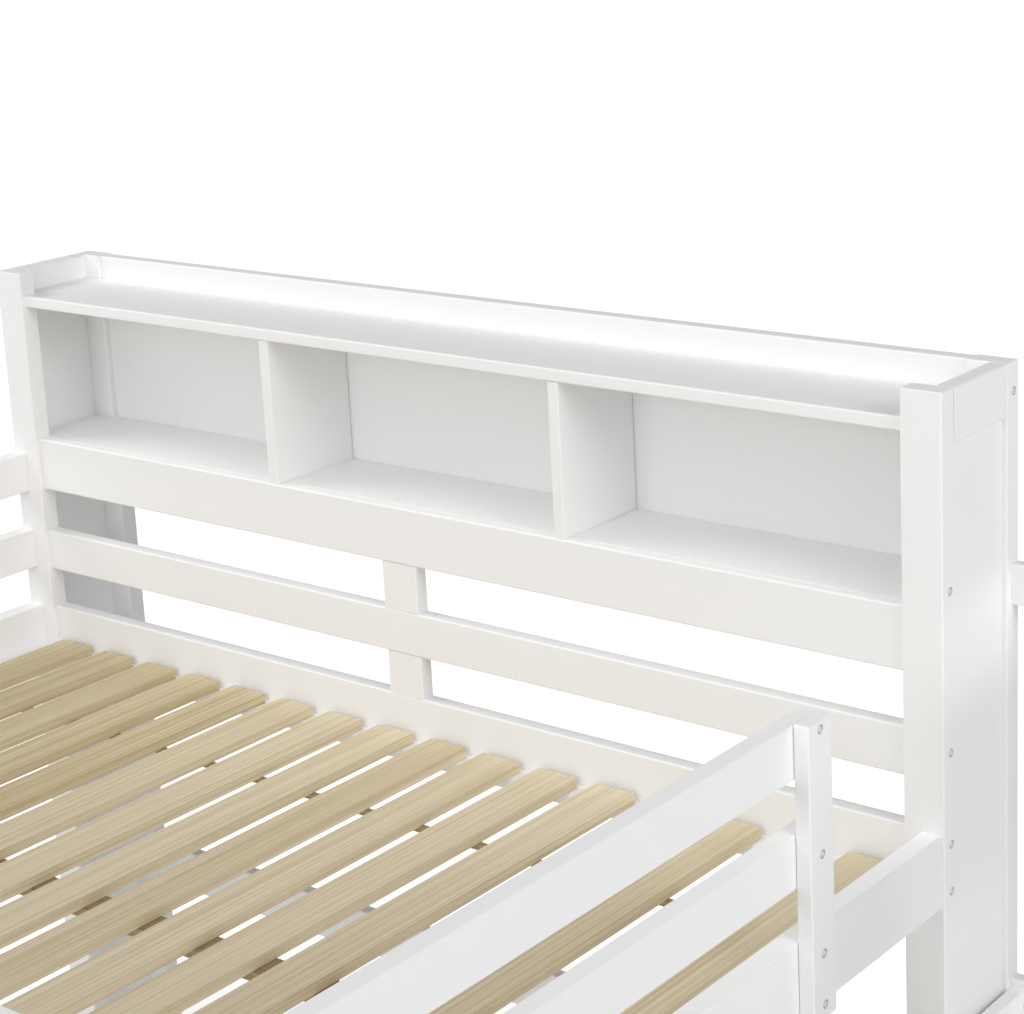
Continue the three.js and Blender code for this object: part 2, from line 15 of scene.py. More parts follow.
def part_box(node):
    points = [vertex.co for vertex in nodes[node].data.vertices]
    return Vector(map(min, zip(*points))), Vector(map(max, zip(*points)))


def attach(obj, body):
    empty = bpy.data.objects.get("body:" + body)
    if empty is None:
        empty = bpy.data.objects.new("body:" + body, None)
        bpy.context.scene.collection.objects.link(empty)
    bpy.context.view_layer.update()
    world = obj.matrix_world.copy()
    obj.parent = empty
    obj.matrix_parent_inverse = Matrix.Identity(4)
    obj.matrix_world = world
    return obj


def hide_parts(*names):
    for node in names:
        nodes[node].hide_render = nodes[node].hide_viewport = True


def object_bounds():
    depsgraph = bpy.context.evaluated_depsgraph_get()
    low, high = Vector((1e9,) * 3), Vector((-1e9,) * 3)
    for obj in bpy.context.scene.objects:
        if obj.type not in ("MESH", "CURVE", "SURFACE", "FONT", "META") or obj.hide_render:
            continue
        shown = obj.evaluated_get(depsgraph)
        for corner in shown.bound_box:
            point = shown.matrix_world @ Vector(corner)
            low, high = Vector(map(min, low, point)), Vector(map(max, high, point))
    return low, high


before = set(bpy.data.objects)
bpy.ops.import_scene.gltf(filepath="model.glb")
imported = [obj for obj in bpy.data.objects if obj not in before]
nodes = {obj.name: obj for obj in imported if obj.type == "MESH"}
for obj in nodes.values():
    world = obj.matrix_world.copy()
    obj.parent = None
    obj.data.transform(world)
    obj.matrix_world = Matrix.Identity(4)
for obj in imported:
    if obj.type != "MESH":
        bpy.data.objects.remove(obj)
cad_low, cad_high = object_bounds()
boxes = {name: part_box(name) for name in nodes}
print("nodes:", len(nodes), "box:", [round(v, 4) for v in cad_high - cad_low])

# %% [markdown]
# ## The camera
#
# The picture was taken from in front of the bed's right-hand end, a little above the bookcase,
# through a long lens. The bed's own upright lines lean very slightly, so the camera is turned a
# little about its own axis. The picture's middle lies beside the axis of the lens, which is what
# a small lens shift does.
#
# The places below are measured from the front top edge of the bookcase at its middle, because
# that edge is the one thing that the picture shows whole.

# %% Place the camera
PICTURE_WIDTH = 1024
SENSOR_WIDTH_MM = 36.0
FOCAL_PIXELS = 2325.2
CAMERA_FROM_BOOKCASE = Vector((2.5041, -2.6994, 0.7838))
YAW = math.radians(38.13)
PITCH = math.radians(13.79)
ROLL = math.radians(-2.56)
SHIFT_X = -0.07
SHIFT_Y = -0.12

left_post_low, left_post_high = boxes["left_front_post"]
right_post_low, right_post_high = boxes["right_front_post"]
bookcase_edge = Vector((
    (left_post_low.x + right_post_high.x) / 2,
    left_post_low.y,
    left_post_high.z,
))

forward = Vector((
    -math.sin(YAW) * math.cos(PITCH),
    math.cos(YAW) * math.cos(PITCH),
    -math.sin(PITCH),
))
level_right = Vector((math.cos(YAW), math.sin(YAW), 0))
level_up = level_right.cross(forward)
right = math.cos(ROLL) * level_right + math.sin(ROLL) * level_up
up = math.cos(ROLL) * level_up - math.sin(ROLL) * level_right

camera = bpy.data.objects.new("camera", bpy.data.cameras.new("camera"))
bpy.context.scene.collection.objects.link(camera)
turn = Matrix((right, up, -forward)).transposed()
camera.matrix_world = Matrix.Translation(bookcase_edge + CAMERA_FROM_BOOKCASE) @ turn.to_4x4()
camera.data.sensor_width = SENSOR_WIDTH_MM
camera.data.lens = FOCAL_PIXELS * SENSOR_WIDTH_MM / PICTURE_WIDTH
camera.data.shift_x = SHIFT_X
camera.data.shift_y = SHIFT_Y
bpy.context.scene.camera = camera
print("camera:", [round(v, 3) for v in camera.location], "lens:", round(camera.data.lens, 1), "mm")

# %% [markdown]
# ## One way to write node trees
#
# A material or a Geometry Nodes tree is a set of nodes joined by links. Written out link by link
# it is hard to read, so two small classes do that work. A Bench holds one tree and makes any node
# from its type, its settings and what goes into its sockets. A Wire is a socket that something
# comes out of, and sums written with wires add Math nodes: `1 - mask` is a Subtract node. Colours
# and vectors would turn grey in a Math node, so they have methods of their own.

# %% Wires and benches
class Wire:
    """One output socket. Sums on wires and numbers add Math nodes to the same tree."""

    def __init__(self, bench, socket):
        self.bench = bench
        self.socket = socket

    def __add__(self, other):
        return self.bench.math("ADD", self, other)

    def __radd__(self, other):
        return self.bench.math("ADD", other, self)

    def __sub__(self, other):
        return self.bench.math("SUBTRACT", self, other)

    def __rsub__(self, other):
        return self.bench.math("SUBTRACT", other, self)

    def __mul__(self, other):
        return self.bench.math("MULTIPLY", self, other)

    def __rmul__(self, other):
        return self.bench.math("MULTIPLY", other, self)

    def __truediv__(self, other):
        return self.bench.math("DIVIDE", self, other)

    def __pow__(self, other):
        return self.bench.math("POWER", self, other)

    def __lt__(self, other):
        return self.bench.math("LESS_THAN", self, other)


class Bench:
    """One node tree under construction."""

    def __init__(self, tree):
        self.tree = tree
        tree.nodes.clear()

    def node(self, kind, settings=None, sockets=None):
        """Adds a node and returns its output sockets as wires, by name."""
        made = self.tree.nodes.new(kind)
        for name, value in (settings or {}).items():
            setattr(made, name, value)
        for key, value in (sockets or {}).items():
            socket = self.find(made.inputs, key)
            if isinstance(value, Wire):
                self.tree.links.new(value.socket, socket)
            else:
                socket.default_value = value
        # Read backwards, so that the first of two sockets with one name is the one that is kept.
        return {s.name: Wire(self, s) for s in reversed(made.outputs) if s.enabled}

    @staticmethod
    def find(sockets, key):
        """A socket by its place in the list, or the first in use that has a name."""
        if isinstance(key, int):
            return sockets[key]
        return next(s for s in sockets if s.enabled and s.name == key)

    def math(self, operation, first, second=0.0):
        """A Math node on one or two numbers."""
        settings = {"operation": operation}
        return self.node("ShaderNodeMath", settings, {0: first, 1: second})["Value"]

    def blend(self, amount, first, second):
        """The colour that lies between two colours at an amount from 0 to 1."""
        settings = {"data_type": "RGBA"}
        sockets = {"Factor": amount, "A": first, "B": second}
        return self.node("ShaderNodeMix", settings, sockets)["Result"]

    def vector(self, x=0.0, y=0.0, z=0.0):
        """A vector from three numbers."""
        return self.node("ShaderNodeCombineXYZ", None, {"X": x, "Y": y, "Z": z})["Vector"]

    def parts(self, vector):
        """The X, Y and Z of a vector."""
        return self.node("ShaderNodeSeparateXYZ", None, {"Vector": vector})

    def stretched(self, vector, scale):
        """A place with each of its three numbers scaled."""
        settings = {"operation": "MULTIPLY"}
        return self.node("ShaderNodeVectorMath", settings, {0: vector, 1: scale})["Vector"]


def rgb(red, green, blue):
    """A colour socket's value from three linear numbers."""
    return (red, green, blue, 1)


# %% [markdown]
# ## White satin paint
#
# The real boards are pine or board stock under a sprayed coat of white satin paint. Seen close,
# such a coat isn't one flat white: it is a little thinner and duller in broad patches, the grain
# of solid timber shows through as faint ridges along the board, and the sheen wanders slightly.
#
# The grain has to run along each board, so the paint is made three times, once for each way that
# a board can lie. Sheet stock has no grain, so a fourth coat leaves the ridges out.

# %% Mix the paint
PAINT_LIGHT = rgb(0.957, 0.960, 0.964)
PAINT_SHADE = rgb(0.932, 0.934, 0.936)
PATCH_SCALE = 5.0
RIDGE_ALONG = 1.6
RIDGE_ACROSS = 120.0
RIDGE_SHARE = 0.25
PEEL_SCALE = 900.0
PEEL_HEIGHT = 0.25
PAINT_ROUGHNESS = (0.52, 0.66)
PAINT_SHEEN = 0.32
PAINT_RELIEF = (0.12, 0.0004)


def noise(bench, vector, scale, detail=3.0, roughness=0.5, dimensions="3D", w=0.0):
    """A value from 0 to 1 that wanders smoothly over space."""
    sockets = {"Vector": vector, "Scale": scale, "Detail": detail, "Roughness": roughness}
    if dimensions == "4D":
        sockets["W"] = w
    return bench.node("ShaderNodeTexNoise", {"noise_dimensions": dimensions}, sockets)["Fac"]


def eased(bench, value, start, end):
    """A number that rises smoothly from 0 to 1 between a start and an end."""
    settings = {"interpolation_type": "SMOOTHSTEP"}
    sockets = {"Value": value, "From Min": start, "From Max": end}
    return bench.node("ShaderNodeMapRange", settings, sockets)["Result"]


def between(value, limits):
    """A number that follows a value from 0 to 1 between two limits."""
    low, high = limits
    return low + value * (high - low)


def start_material(name):
    """An empty material, its bench and the piece's own coordinates."""
    material = bpy.data.materials.new(name)
    material.use_nodes = True
    bench = Bench(material.node_tree)
    return material, bench, bench.node("ShaderNodeTexCoord")["Object"]


def finish_material(bench, sockets, height=None, relief=None):
    """Ends a material in one Principled shader. A height comes with the strength and the depth in
    metres of its relief."""
    if height is not None:
        strength, depth = relief
        bump = {"Height": height, "Strength": strength, "Distance": depth}
        sockets["Normal"] = bench.node("ShaderNodeBump", None, bump)["Normal"]
    shader = bench.node("ShaderNodeBsdfPrincipled", None, sockets)["BSDF"]
    bench.node("ShaderNodeOutputMaterial", None, {"Surface": shader})


def satin_white(name, along=None):
    """White satin paint, with faint grain along one axis (0, 1 or 2) or with none."""
    material, bench, place = start_material(name)
    patches = noise(bench, place, PATCH_SCALE, detail=4.0)
    height = noise(bench, place, PEEL_SCALE, detail=1.0) * PEEL_HEIGHT
    if along is not None:
        scale = [RIDGE_ACROSS] * 3
        scale[along] = RIDGE_ALONG
        ridges = noise(bench, bench.stretched(place, scale), 1.0, detail=4.0, roughness=0.6)
        patches = patches * (1 - RIDGE_SHARE) + ridges * RIDGE_SHARE
        height = height + ridges
    finish_material(
        bench,
        {
            "Base Color": bench.blend(patches, PAINT_LIGHT, PAINT_SHADE),
            "Roughness": between(patches, PAINT_ROUGHNESS),
            "Specular IOR Level": PAINT_SHEEN,
        },
        height,
        PAINT_RELIEF,
    )
    return material


paint_along = [
    satin_white(f"satin_white_along_{axis}", index)
    for index, axis in enumerate("xyz")
]
paint_sheet = satin_white("satin_white_sheet")
print("paints:", [m.name for m in paint_along], paint_sheet.name)

# %% [markdown]
# ## Bare pine
#
# The slats are planed pine with no finish. Their grain is fine and runs the length of each slat:
# pale early wood with thin tan lines of late wood, and each slat comes from another board, so no
# two share a shade. A noise drawn out along the slat gives the lines. The number of the slat that
# a point lies on moves it to another part of the noise, which gives every slat its own grain. The
# first few, at the left-hand end, are darker than the rest: painted shade for the shade that falls
# on them there.
#
# The battens under the slats are given a much darker pine: painted shade for the deep shade that
# they lie in under the slats.

# %% Mix the pine
PLANED_PALE = rgb(0.768, 0.676, 0.500)
PLANED_TAN = rgb(0.520, 0.408, 0.228)
# Painted shade: the battens' colours are darkened to stand in for the deep shade under the slats.
BATTEN_SHADED_PALE = rgb(0.470, 0.370, 0.215)
BATTEN_SHADED_TAN = rgb(0.300, 0.215, 0.105)
BAND_SCALE = (55, 0.7)
LINE_SCALE = (300, 1.2)
FLECK_SCALE = (750, 18)
BAND_STEP, BAND_SWING = 3.7, 0.8
LINE_STEP, LINE_SWING = 7.3, 2.2
FLECK_STEP, FLECK_SWING = 1.9, 0.6
SHADE_STEP, SHADE_SWING = 5.31, 0.7
TONE_MIDDLE = 0.36
# Painted shade: the first slats at the left-hand end are darkened by this much, for the shade
# there.
PAINTED_SHADE_BOARDS = (2.5, 6.5)
PAINTED_SHADE_BY = 0.36
PINE_ROUGHNESS = (0.58, 0.78)
PINE_SHEEN = 0.35
PINE_RELIEF = (0.3, 0.0004)
FLECK_HEIGHT = 0.4
BOARD_NUMBER = "board_number"


def drawn_out(bench, place, scales, along):
    """Coordinates with one scale across the grain and another along it."""
    across, lengthwise = scales
    scale = [across] * 3
    scale[along] = lengthwise
    return bench.stretched(place, scale)


def bare_pine(name, pale, tan, along, painted_shade_by=0.0):
    """Pine whose grain runs along one axis. Each numbered board has its own shade and grain."""
    material, bench, place = start_material(name)
    number = bench.node("ShaderNodeAttribute", {"attribute_name": BOARD_NUMBER})["Fac"]

    def grain(scales, step, **look):
        """A pattern drawn out along the grain, around 0, from another place for each board."""
        stretched = drawn_out(bench, place, scales, along)
        return noise(bench, stretched, 1.0, dimensions="4D", w=number * step, **look) - 0.5

    bands = grain(BAND_SCALE, BAND_STEP)
    lines = grain(LINE_SCALE, LINE_STEP, roughness=0.65)
    flecks = grain(FLECK_SCALE, FLECK_STEP, detail=2.0)
    shade = noise(bench, (0, 0, 0), 1.0, detail=0.0, dimensions="4D", w=number * SHADE_STEP) - 0.5
    # Painted shade: slats numbered below the range are darkened, standing in for shade at the
    # left-hand end.
    painted_shade = (1 - eased(bench, number, *PAINTED_SHADE_BOARDS)) * painted_shade_by
    swing = bands * BAND_SWING + lines * LINE_SWING + flecks * FLECK_SWING + shade * SHADE_SWING
    finish_material(
        bench,
        {
            "Base Color": bench.blend(swing + TONE_MIDDLE + painted_shade, pale, tan),
            "Roughness": between(lines + 0.5, PINE_ROUGHNESS),
            "Specular IOR Level": PINE_SHEEN,
        },
        lines + flecks * FLECK_HEIGHT,
        PINE_RELIEF,
    )
    return material


planed_pine = bare_pine("planed_pine", PLANED_PALE, PLANED_TAN, along=1, painted_shade_by=PAINTED_SHADE_BY)
# Painted shade: the battens' darker pine stands in for the shade that they lie in.
shade_darkened_pine = bare_pine("shade_darkened_pine", BATTEN_SHADED_PALE, BATTEN_SHADED_TAN, along=0)
print("pines:", planed_pine.name, shade_darkened_pine.name)

# %% [markdown]
# ## Which board gets which coat
#
# A board's longest side is the way its grain runs. The panels, shelves and dividers are sheet
# stock. Everything that is part of the deck stays bare.

# %% Coat the boards
SHEET_STOCK = (
    "left_end_panel", "right_end_panel", "bookcase_back_panel",
    "top_shelf", "bottom_shelf", "left_divider", "right_divider",
)
BATTENS = ("centre_beam", "back_slat_tie", "front_slat_tie")


def coat_for(name):
    """The finish of a board, from its name and the way that it lies."""
    if name.startswith("slat_"):
        return planed_pine
    if name in BATTENS:
        return shade_darkened_pine
    if name in SHEET_STOCK:
        return paint_sheet
    low, high = boxes[name]
    size = high - low
    return paint_along[max(range(3), key=lambda axis: size[axis])]


for name, board in nodes.items():
    board.data.materials.clear()
    board.data.materials.append(coat_for(name))
print("coated:", len(nodes), "boards")

# %% [markdown]
# ## Steel and cap plastic
#
# Two small materials remain. The bolt heads and nuts are zinc plated steel, which is a metal with
# fine marks and a patchy sheen. The caps over the bolts' sockets are white plastic, a little greyer
# and glossier than the paint round them.

# %% Mix the steel and the plastic
STEEL_LIGHT = rgb(0.56, 0.56, 0.555)
STEEL_DARK = rgb(0.42, 0.42, 0.415)
CAP_WHITE = rgb(0.80, 0.80, 0.80)
CAP_GREY = rgb(0.76, 0.76, 0.76)
STEEL_MARKS = 1400.0
STEEL_ROUGHNESS = (0.26, 0.46)
STEEL_RELIEF = (0.1, 0.0001)
CAP_GRAIN = 1800.0
CAP_ROUGHNESS = (0.30, 0.42)
CAP_RELIEF = (0.05, 0.0001)


def plated_steel():
    """Zinc plated steel, with a patchy sheen."""
    material, bench, place = start_material("plated_steel")
    marks = noise(bench, place, STEEL_MARKS, detail=4.0)
    finish_material(
        bench,
        {
            "Base Color": bench.blend(marks, STEEL_LIGHT, STEEL_DARK),
            "Metallic": 1.0,
            "Roughness": between(marks, STEEL_ROUGHNESS),
        },
        marks,
        STEEL_RELIEF,
    )
    return material


def cap_plastic():
    """Moulded white plastic, with a very fine grain."""
    material, bench, place = start_material("white_plastic")
    grain = noise(bench, place, CAP_GRAIN)
    finish_material(
        bench,
        {
            "Base Color": bench.blend(grain, CAP_WHITE, CAP_GREY),
            "Roughness": between(grain, CAP_ROUGHNESS),
        },
        grain,
        CAP_RELIEF,
    )
    return material


steel = plated_steel()
plastic = cap_plastic()
print("small materials:", steel.name, plastic.name)

# %% [markdown]
# ## Where the fasteners go
#
# The posts have a round hole for every bolt, so the holes themselves say where the bolts are. The
# floor of each hole is a ring of points at one depth under a face of the post, and the middle of
# the ring is where the bolt's head sits. Read this way, a head can never miss its hole.
#
# Each bolt ends in a nut. Followed inwards, the bolt meets the board that it holds. If it enters
# the board's end, a barrel nut lies across it and shows on the board's hidden face, or on its room
# side where the board lies against the wall. If it goes through the board's thickness, the nut sits
# on the far face.

# %% Find the bolt holes
HOLE_DEPTH = 0.006
SAME_LEVEL = 0.00005
HOLE_REACH = 0.014
RING_POINTS = 10


def middle_of_points(points):
    """The middle of the box round some points."""
    return Vector([(min(p[i] for p in points) + max(p[i] for p in points)) / 2 for i in range(3)])


def hole_floors(name):
    """Middle and outward direction of the floor of each round hole in a post."""
    low, high = boxes[name]
    found = []
    for axis in (0, 1):
        for face, out in ((low[axis], -1), (high[axis], 1)):
            level = face - out * HOLE_DEPTH
            facing = Vector((0, 0, 0))
            facing[axis] = out
            points = [vertex.co.copy() for vertex in nodes[name].data.vertices]
            floor_points = [p for p in points if abs(p[axis] - level) < SAME_LEVEL]
            while floor_points:
                first = floor_points[0]
                ring = [p for p in floor_points if (p - first).length < HOLE_REACH]
                floor_points = [p for p in floor_points if (p - first).length >= HOLE_REACH]
                if len(ring) > RING_POINTS:
                    found.append((middle_of_points(ring), facing))
    return found


bolts = [(name, *floor) for name in sorted(nodes) if "post" in name for floor in hole_floors(name)]
print("bolt holes:", len(bolts))

# %% Follow the bolts to their nuts
BOLT_STEP = 0.004
BOLT_LENGTH = 0.110
NUT_INSET = 0.040
END_JOINT = 0.100
bed_middle = bookcase_edge.x


def inside(point, name):
    """Whether a point lies in a board's box."""
    low, high = boxes[name]
    return all(low[i] < point[i] < high[i] for i in range(3))


def held_board(post, start, inward):
    """The first board, apart from the post, that a bolt runs into."""
    for step in range(int(BOLT_LENGTH / BOLT_STEP)):
        point = start + inward * BOLT_STEP * step
        for name in nodes:
            if name != post and inside(point, name):
                return name
    return None


def nut_place(post, start, facing):
    """Where a bolt's nut shows, and the way that it faces, or None if no board was met."""
    name = held_board(post, start, -facing)
    if name is None:
        return None
    low, high = boxes[name]
    axis = 0 if facing.x else 1
    entered, far = (high, low) if facing[axis] > 0 else (low, high)
    place = start.copy()
    if high[axis] - low[axis] < END_JOINT:
        place[axis] = far[axis]
        return place, -facing
    place[axis] = entered[axis] - facing[axis] * NUT_INSET
    outward = Vector((0, 0, 0))
    if axis == 0:
        against_wall = high.y > cad_high.y - SAME_LEVEL
        outward.y = -1 if against_wall else 1
        place.y = low.y if against_wall else high.y
    else:
        left_half = place.x < bed_middle
        outward.x = 1 if left_half else -1
        place.x = high.x if left_half else low.x
    return place, outward


nuts = [found for bolt in bolts if (found := nut_place(*bolt))]
print("nuts:", len(nuts))

# %% [markdown]
# ## One tree for every round head
#
# Bolt heads, caps, nuts and screws are all the same thing to a maker: a turned disc with a softly
# crowned top and, on some, a slot or a cross pressed into it. One Geometry Nodes tree makes them
# all. It shapes one disc, puts a copy at every point, turns each copy to face the way its point
# says, and gives it a turn of its own about its axis, as no two screws stop at the same angle.

# %% Build the tree of round heads
HEAD_SIDES = 16
HEAD_RINGS = 4
RIM_POWER = 3.0
SLOT_HALF_WIDTH = 0.08
SLOT_REACH = 0.6


def new_tree(name, sizes):
    """An empty Geometry Nodes tree that takes points, named sizes, a seed and a finish."""
    tree = bpy.data.node_groups.new(name, "GeometryNodeTree")
    face = tree.interface
    face.new_socket("Points", in_out="INPUT", socket_type="NodeSocketGeometry")
    for size in sizes:
        face.new_socket(size, in_out="INPUT", socket_type="NodeSocketFloat")
    face.new_socket("Seed", in_out="INPUT", socket_type="NodeSocketInt")
    face.new_socket("Finish", in_out="INPUT", socket_type="NodeSocketMaterial")
    face.new_socket("Pieces", in_out="OUTPUT", socket_type="NodeSocketGeometry")
    bench = Bench(tree)
    return tree, bench, bench.node("NodeGroupInput")


def close_tree(bench, given, instances):
    """Turns the copies into real faces, finishes them and ends the tree."""
    real = bench.node("GeometryNodeRealizeInstances", None, {"Geometry": instances})["Geometry"]
    finish = {"Geometry": real, "Material": given["Finish"]}
    finished = bench.node("GeometryNodeSetMaterial", None, finish)["Geometry"]
    bench.node("NodeGroupOutput", None, {"Pieces": finished})


def attribute(bench, name):
    """A direction that the points carry under a name."""
    settings = {"data_type": "FLOAT_VECTOR"}
    return bench.node("GeometryNodeInputNamedAttribute", settings, {"Name": name})["Attribute"]


def chance(bench, low, high, seed):
    """A number of its own for each copy, the same on every run."""
    sockets = {"Min": low, "Max": high, "Seed": seed}
    return bench.node("FunctionNodeRandomValue", {"data_type": "FLOAT"}, sockets)["Value"]


def turn_about_z(bench, angle):
    """A rotation about the Z axis."""
    sockets = {"Axis": (0, 0, 1), "Angle": angle}
    return bench.node("FunctionNodeAxisAngleToRotation", None, sockets)["Rotation"]


def copied(bench, points, original, rotation):
    """One copy of a mesh at every point."""
    sockets = {"Points": points, "Instance": original, "Rotation": rotation}
    return bench.node("GeometryNodeInstanceOnPoints", None, sockets)["Instances"]


def heads_tree():
    """Turned discs with a crown and a slot or a cross, each facing the way of its point."""
    sizes = ("Radius", "Thickness", "Crown", "Seat", "Recess", "Cross", "Turn")
    tree, bench, given = new_tree("round_heads", sizes)
    radius = given["Radius"]
    disc = bench.node("GeometryNodeMeshCylinder", {"fill_type": "TRIANGLE_FAN"}, {
        "Vertices": HEAD_SIDES,
        "Side Segments": 1,
        "Fill Segments": HEAD_RINGS,
        "Radius": radius,
        "Depth": given["Thickness"],
    })
    place = bench.parts(bench.node("GeometryNodeInputPosition")["Position"])
    across = (place["X"] * place["X"] + place["Y"] * place["Y"]) ** 0.5 / radius
    slot = bench.math("ABSOLUTE", place["Y"] / radius) < SLOT_HALF_WIDTH
    cross = (bench.math("ABSOLUTE", place["X"] / radius) < SLOT_HALF_WIDTH) * given["Cross"]
    pressed = bench.math("MAXIMUM", slot, cross) * (across < SLOT_REACH) * given["Recess"]
    sink = 0 - given["Crown"] * across ** RIM_POWER - pressed
    shaped = bench.node("GeometryNodeSetPosition", None, {
        "Geometry": disc["Mesh"], "Selection": disc["Top"], "Offset": bench.vector(z=sink),
    })["Geometry"]
    seated = bench.node("GeometryNodeTransform", None, {
        "Geometry": shaped,
        "Translation": bench.vector(z=given["Seat"] + given["Thickness"] / 2),
    })["Geometry"]
    facing = bench.node("FunctionNodeAlignRotationToVector", {"axis": "Z"}, {
        "Rotation": turn_about_z(bench, chance(bench, 0.0, given["Turn"], given["Seed"])),
        "Vector": attribute(bench, "facing"),
    })["Rotation"]
    close_tree(bench, given, copied(bench, given["Points"], seated, facing))
    return tree


round_heads = heads_tree()
print("tree:", round_heads.name, len(round_heads.nodes), "nodes")

# %% [markdown]
# ## From a tree to a piece
#
# The tree works as a modifier on a mesh that is nothing but points. What it makes is then kept as
# a plain mesh of its own, and the points and the modifier are thrown away.

# %% A helper that makes a piece
def add_piece(name, mesh):
    """A finished piece from a mesh that is already in its place."""
    piece = bpy.data.objects.new(name, mesh)
    bpy.context.scene.collection.objects.link(piece)
    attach(piece, "root")
    return piece


def drop_empty_slots(mesh):
    """Keeps the materials that the tree set, without the empty slot of the points."""
    finishes = [material for material in mesh.materials if material]
    kept = [finishes.index(mesh.materials[face.material_index]) for face in mesh.polygons]
    mesh.materials.clear()
    for material in finishes:
        mesh.materials.append(material)
    mesh.polygons.foreach_set("material_index", kept)


def grow(name, tree, places, values):
    """Runs a tree on points that carry a direction or two, and keeps the result as a piece.
    places is a list of (point, facing) or (point, facing, along)."""
    cloud = bpy.data.meshes.new(name + "_points")
    cloud.from_pydata([p[0] for p in places], [], [])
    for column, label in enumerate(("facing", "along"), start=1):
        if len(places[0]) > column:
            layer = cloud.attributes.new(label, "FLOAT_VECTOR", "POINT")
            layer.data.foreach_set("vector", [v for p in places for v in p[column]])
    carrier = bpy.data.objects.new(name + "_points", cloud)
    bpy.context.scene.collection.objects.link(carrier)
    modifier = carrier.modifiers.new(name, "NODES")
    modifier.node_group = tree
    for item in tree.interface.items_tree:
        if item.in_out == "INPUT" and item.name in values:
            modifier[item.identifier] = values[item.name]
    carrier.update_tag()
    bpy.context.view_layer.update()
    evaluated = carrier.evaluated_get(bpy.context.evaluated_depsgraph_get())
    mesh = bpy.data.meshes.new_from_object(evaluated)
    mesh.name = name
    drop_empty_slots(mesh)
    bpy.data.objects.remove(carrier)
    bpy.data.meshes.remove(cloud)
    piece = add_piece(name, mesh)
    print(name + ":", len(places), "copies,", len(mesh.polygons), "faces")
    return piece


# %% [markdown]
# ## The slats
#
# Every slat is the same planed board, so one tree cuts it once, as a rounded section drawn along a
# line, and lays a copy at each place in the row. The slats are laid by hand. So each copy gets a
# small turn and a small slide of its own, and a number that the pine reads to find its grain.

# %% Lay the slats
SLAT_EDGE = 0.0015
SLAT_EDGE_POINTS = 3
SLAT_TURN = math.radians(0.12)
SLAT_SLIDE = 0.0012
slats = sorted(name for name in nodes if name.startswith("slat_"))


def middle_of(name):
    """The middle of a board's box."""
    low, high = boxes[name]
    return (low + high) / 2


def swept(bench, line, section):
    """A closed mesh from a section drawn along a line."""
    sockets = {"Curve": line, "Profile Curve": section, "Fill Caps": True}
    return bench.node("GeometryNodeCurveToMesh", None, sockets)["Mesh"]


def slats_tree():
    """Boards with rounded edges that lie along Y, each with a turn, a slide and a number."""
    sizes = ("Width", "Thickness", "Length", "Edge radius", "Turn", "Slide")
    tree, bench, given = new_tree("slats", sizes)
    section = bench.node("GeometryNodeCurvePrimitiveQuadrilateral", {"mode": "RECTANGLE"}, {
        "Width": given["Width"], "Height": given["Thickness"],
    })["Curve"]
    rounded = bench.node("GeometryNodeFilletCurve", {"mode": "POLY"}, {
        "Curve": section, "Count": SLAT_EDGE_POINTS, "Radius": given["Edge radius"],
    })["Curve"]
    half = given["Length"] / 2
    line = bench.node("GeometryNodeCurvePrimitiveLine", {"mode": "POINTS"}, {
        "Start": bench.vector(y=0 - half), "End": bench.vector(y=half),
    })["Curve"]
    board = bench.node("GeometryNodeSetShadeSmooth", None, {
        "Geometry": swept(bench, line, rounded), "Shade Smooth": False,
    })["Geometry"]
    slide = chance(bench, 0 - given["Slide"], given["Slide"], given["Seed"])
    laid = bench.node("GeometryNodeSetPosition", None, {
        "Geometry": given["Points"], "Offset": bench.vector(x=slide),
    })["Geometry"]
    angle = chance(bench, 0 - given["Turn"], given["Turn"], given["Seed"] + 1)
    copies = copied(bench, laid, board, turn_about_z(bench, angle))
    for_instances = {"domain": "INSTANCE", "data_type": "FLOAT"}
    numbered = bench.node("GeometryNodeStoreNamedAttribute", for_instances, {
        "Geometry": copies,
        "Name": BOARD_NUMBER,
        "Value": bench.node("GeometryNodeInputIndex")["Index"],
    })["Geometry"]
    close_tree(bench, given, numbered)
    return tree


slat_low, slat_high = boxes[slats[0]]
slat_row = grow("slats", slats_tree(), [(middle_of(slat),) for slat in slats], {
    "Width": slat_high.x - slat_low.x,
    "Thickness": slat_high.z - slat_low.z,
    "Length": slat_high.y - slat_low.y,
    "Edge radius": SLAT_EDGE,
    "Turn": SLAT_TURN,
    "Slide": SLAT_SLIDE,
    "Seed": 17,
    "Finish": planed_pine,
})
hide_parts(*slats)

# %% [markdown]
# ## Bolts and caps
#
# Each bolt has a flat steel head that sits just over a millimetre under the post's face. A white
# cap is pushed into the socket for the key and hides it, so what shows from a few steps away is a
# thin grey ring round a white dot. The nuts stand a third of a millimetre proud of their boards.

# %% Seat the bolts and their caps
BOLT_HEAD = {"Radius": 0.0061, "Thickness": 0.0046, "Crown": 0.0004, "Seat": 0.0001}
BOLT_CAP = {
    "Radius": 0.0043, "Thickness": 0.0012, "Crown": 0.0005, "Seat": BOLT_HEAD["Thickness"],
}
BARREL_NUT = {
    "Radius": 0.005, "Thickness": 0.003, "Crown": 0.0001, "Seat": -0.0027, "Recess": 0.0012,
}
FULL_TURN = 2 * math.pi


def fit_heads(name, places, sizes, seed, finish):
    """A round head of the given sizes at every place, as one piece."""
    values = {**sizes, "Turn": FULL_TURN, "Seed": seed, "Finish": finish}
    return grow(name, round_heads, places, values)


bolt_places = [(middle, facing) for _, middle, facing in bolts]
fit_heads("bolt_heads", bolt_places, BOLT_HEAD, 3, steel)
fit_heads("bolt_caps", bolt_places, BOLT_CAP, 5, plastic)
fit_heads("barrel_nuts", nuts, BARREL_NUT, 7, steel)

